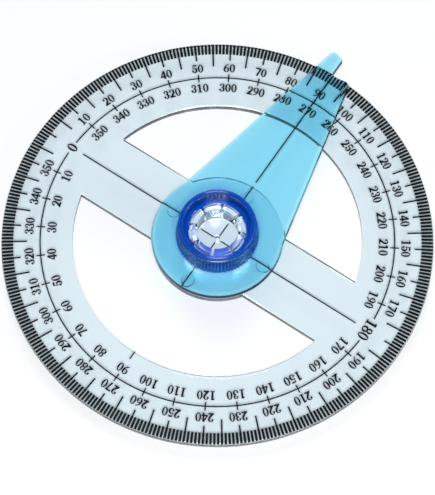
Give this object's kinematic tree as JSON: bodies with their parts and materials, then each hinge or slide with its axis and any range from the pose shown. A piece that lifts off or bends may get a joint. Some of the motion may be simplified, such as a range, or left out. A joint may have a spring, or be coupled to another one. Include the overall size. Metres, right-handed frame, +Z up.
{
  "type": "swing arm protractor",
  "caption": "Round clear protractor with a full-circle degree scale, two windows, and a tinted pointer arm turned by a ribbed ring at the centre.",
  "frame": {"origin": "on the arm's pivot axis, at the disc's flat underside", "axes": "+Z up along the pivot axis through the finger ring; 0 mark on -X, 90 on +Y, 180 on +X; the arm points along +Y at rest"},
  "size_m": [0.1, 0.105, 0.0102],
  "materials": {
    "clear_polystyrene": "clear, polished",
    "sky_blue_polystyrene": "transparent tint, polished",
    "royal_blue_polystyrene": "deep transparent tint, polished",
    "black_foil": "hot-stamped, satin"
  },
  "bodies": {
    "dial": {"scale_disc": "clear_polystyrene", "degree_ticks": "black_foil", "five_degree_ticks": "black_foil", "ten_degree_ticks": "black_foil", "scale_circle": "black_foil", "cross_ticks": "black_foil", "outer_numerals": "black_foil", "inner_numerals": "black_foil", "axis_numerals": "black_foil", "base_line": "black_foil", "quadrant_marks": "black_foil", "centre_cross": "black_foil"},
    "pointer": {"pointer_arm": "sky_blue_polystyrene", "finger_ring": "royal_blue_polystyrene", "pointer_hairline": "black_foil"}
  },
  "joints": [
    {"name": "arm_swing", "type": "hinge", "parent": "dial", "child": "pointer", "pos_m": [0, 0, 0.003], "axis": [0, 0, 1], "continuous": true}
  ]
}
